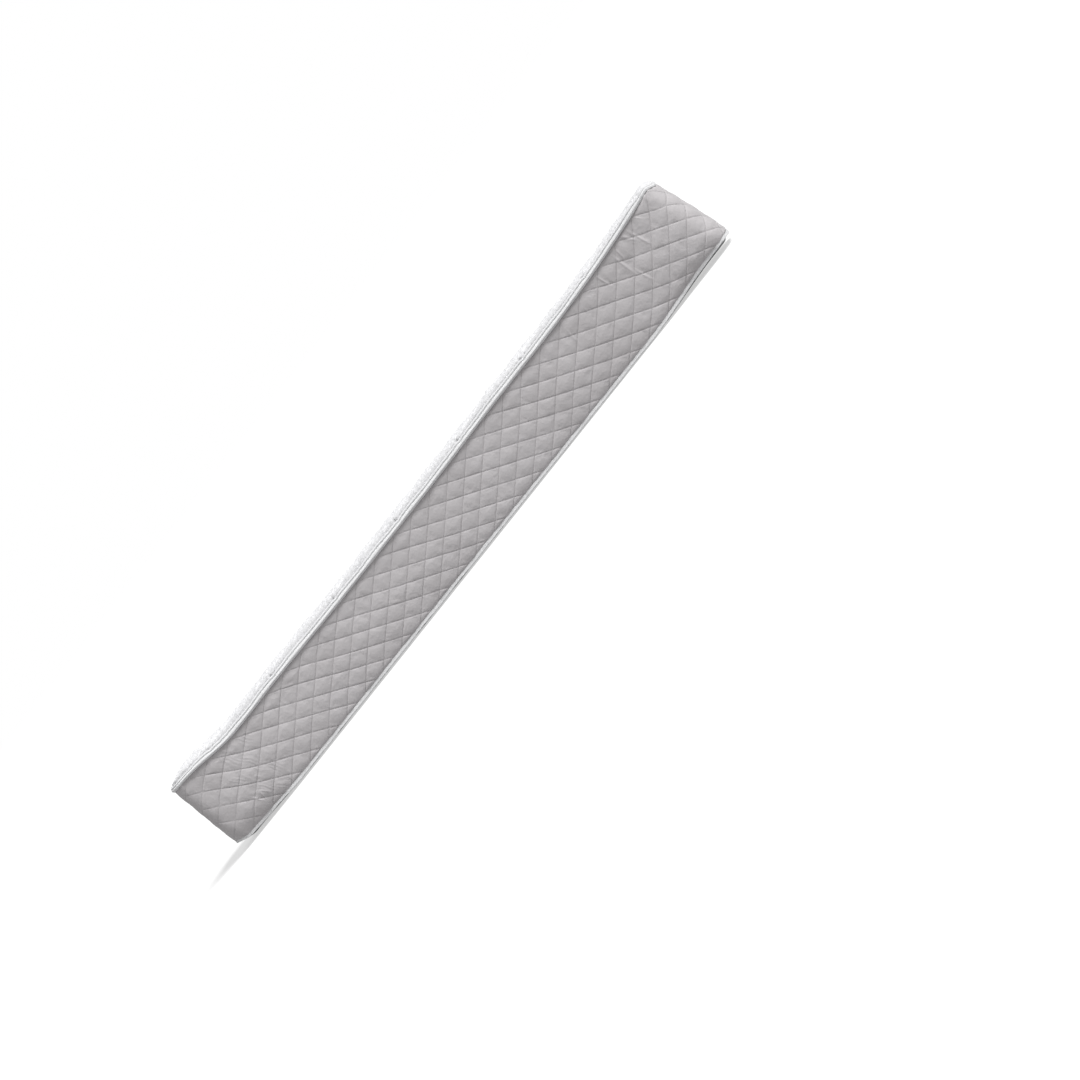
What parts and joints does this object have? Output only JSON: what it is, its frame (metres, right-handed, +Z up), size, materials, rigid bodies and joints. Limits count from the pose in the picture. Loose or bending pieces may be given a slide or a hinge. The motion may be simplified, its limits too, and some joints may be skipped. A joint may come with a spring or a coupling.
{
  "type": "padded bed rail",
  "caption": "Padded bed rail: a long foam bolster in a diamond-quilted pale grey cover with a white crowned top, taped seams and a zip along the back",
  "frame": {"origin": "middle of the bar's length and depth, on the ground that it rests on", "axes": "+X along the bar, front face towards -Y, +Z up"},
  "size_m": [2.0132, 0.1732, 0.2653],
  "materials": {
    "foam": "matte",
    "border_fabric": "matte",
    "panel_fabric": "matte",
    "wadding": "matte",
    "lining": "matte",
    "tape_fabric": "matte",
    "zip_nylon": "satin",
    "zip_metal": "satin"
  },
  "bodies": {
    "cover": {"foam_core": "foam", "border_cloth": "border_fabric", "border_wadding": "wadding", "border_lining": "lining", "top_cloth": "panel_fabric", "top_wadding": "wadding", "top_lining": "lining", "bottom_cloth": "panel_fabric", "bottom_wadding": "wadding", "bottom_lining": "lining", "back_upper_cloth": "border_fabric", "back_upper_wadding": "wadding", "back_upper_lining": "lining", "back_lower_cloth": "border_fabric", "back_lower_wadding": "wadding", "back_lower_lining": "lining", "top_edge_tape": "tape_fabric", "bottom_edge_tape": "tape_fabric", "zip_tape_upper": "tape_fabric", "zip_tape_lower": "tape_fabric", "zip_teeth_upper": "zip_nylon", "zip_teeth_lower": "zip_nylon", "zip_stops": "zip_nylon", "zip_end_tabs": "border_fabric"},
    "slider": {"zip_slider": "zip_metal"},
    "pull": {"zip_pull": "zip_metal"}
  },
  "joints": [
    {"name": "zip_slide", "type": "slide", "parent": "cover", "child": "slider", "axis": [-1, 0, 0], "range_m": [0, 1.776]},
    {"name": "pull_swing", "type": "hinge", "parent": "slider", "child": "pull", "pos_m": [0.888, 0.0815, 0.11], "axis": [0, 0, -1], "range_deg": [0, 175]}
  ]
}
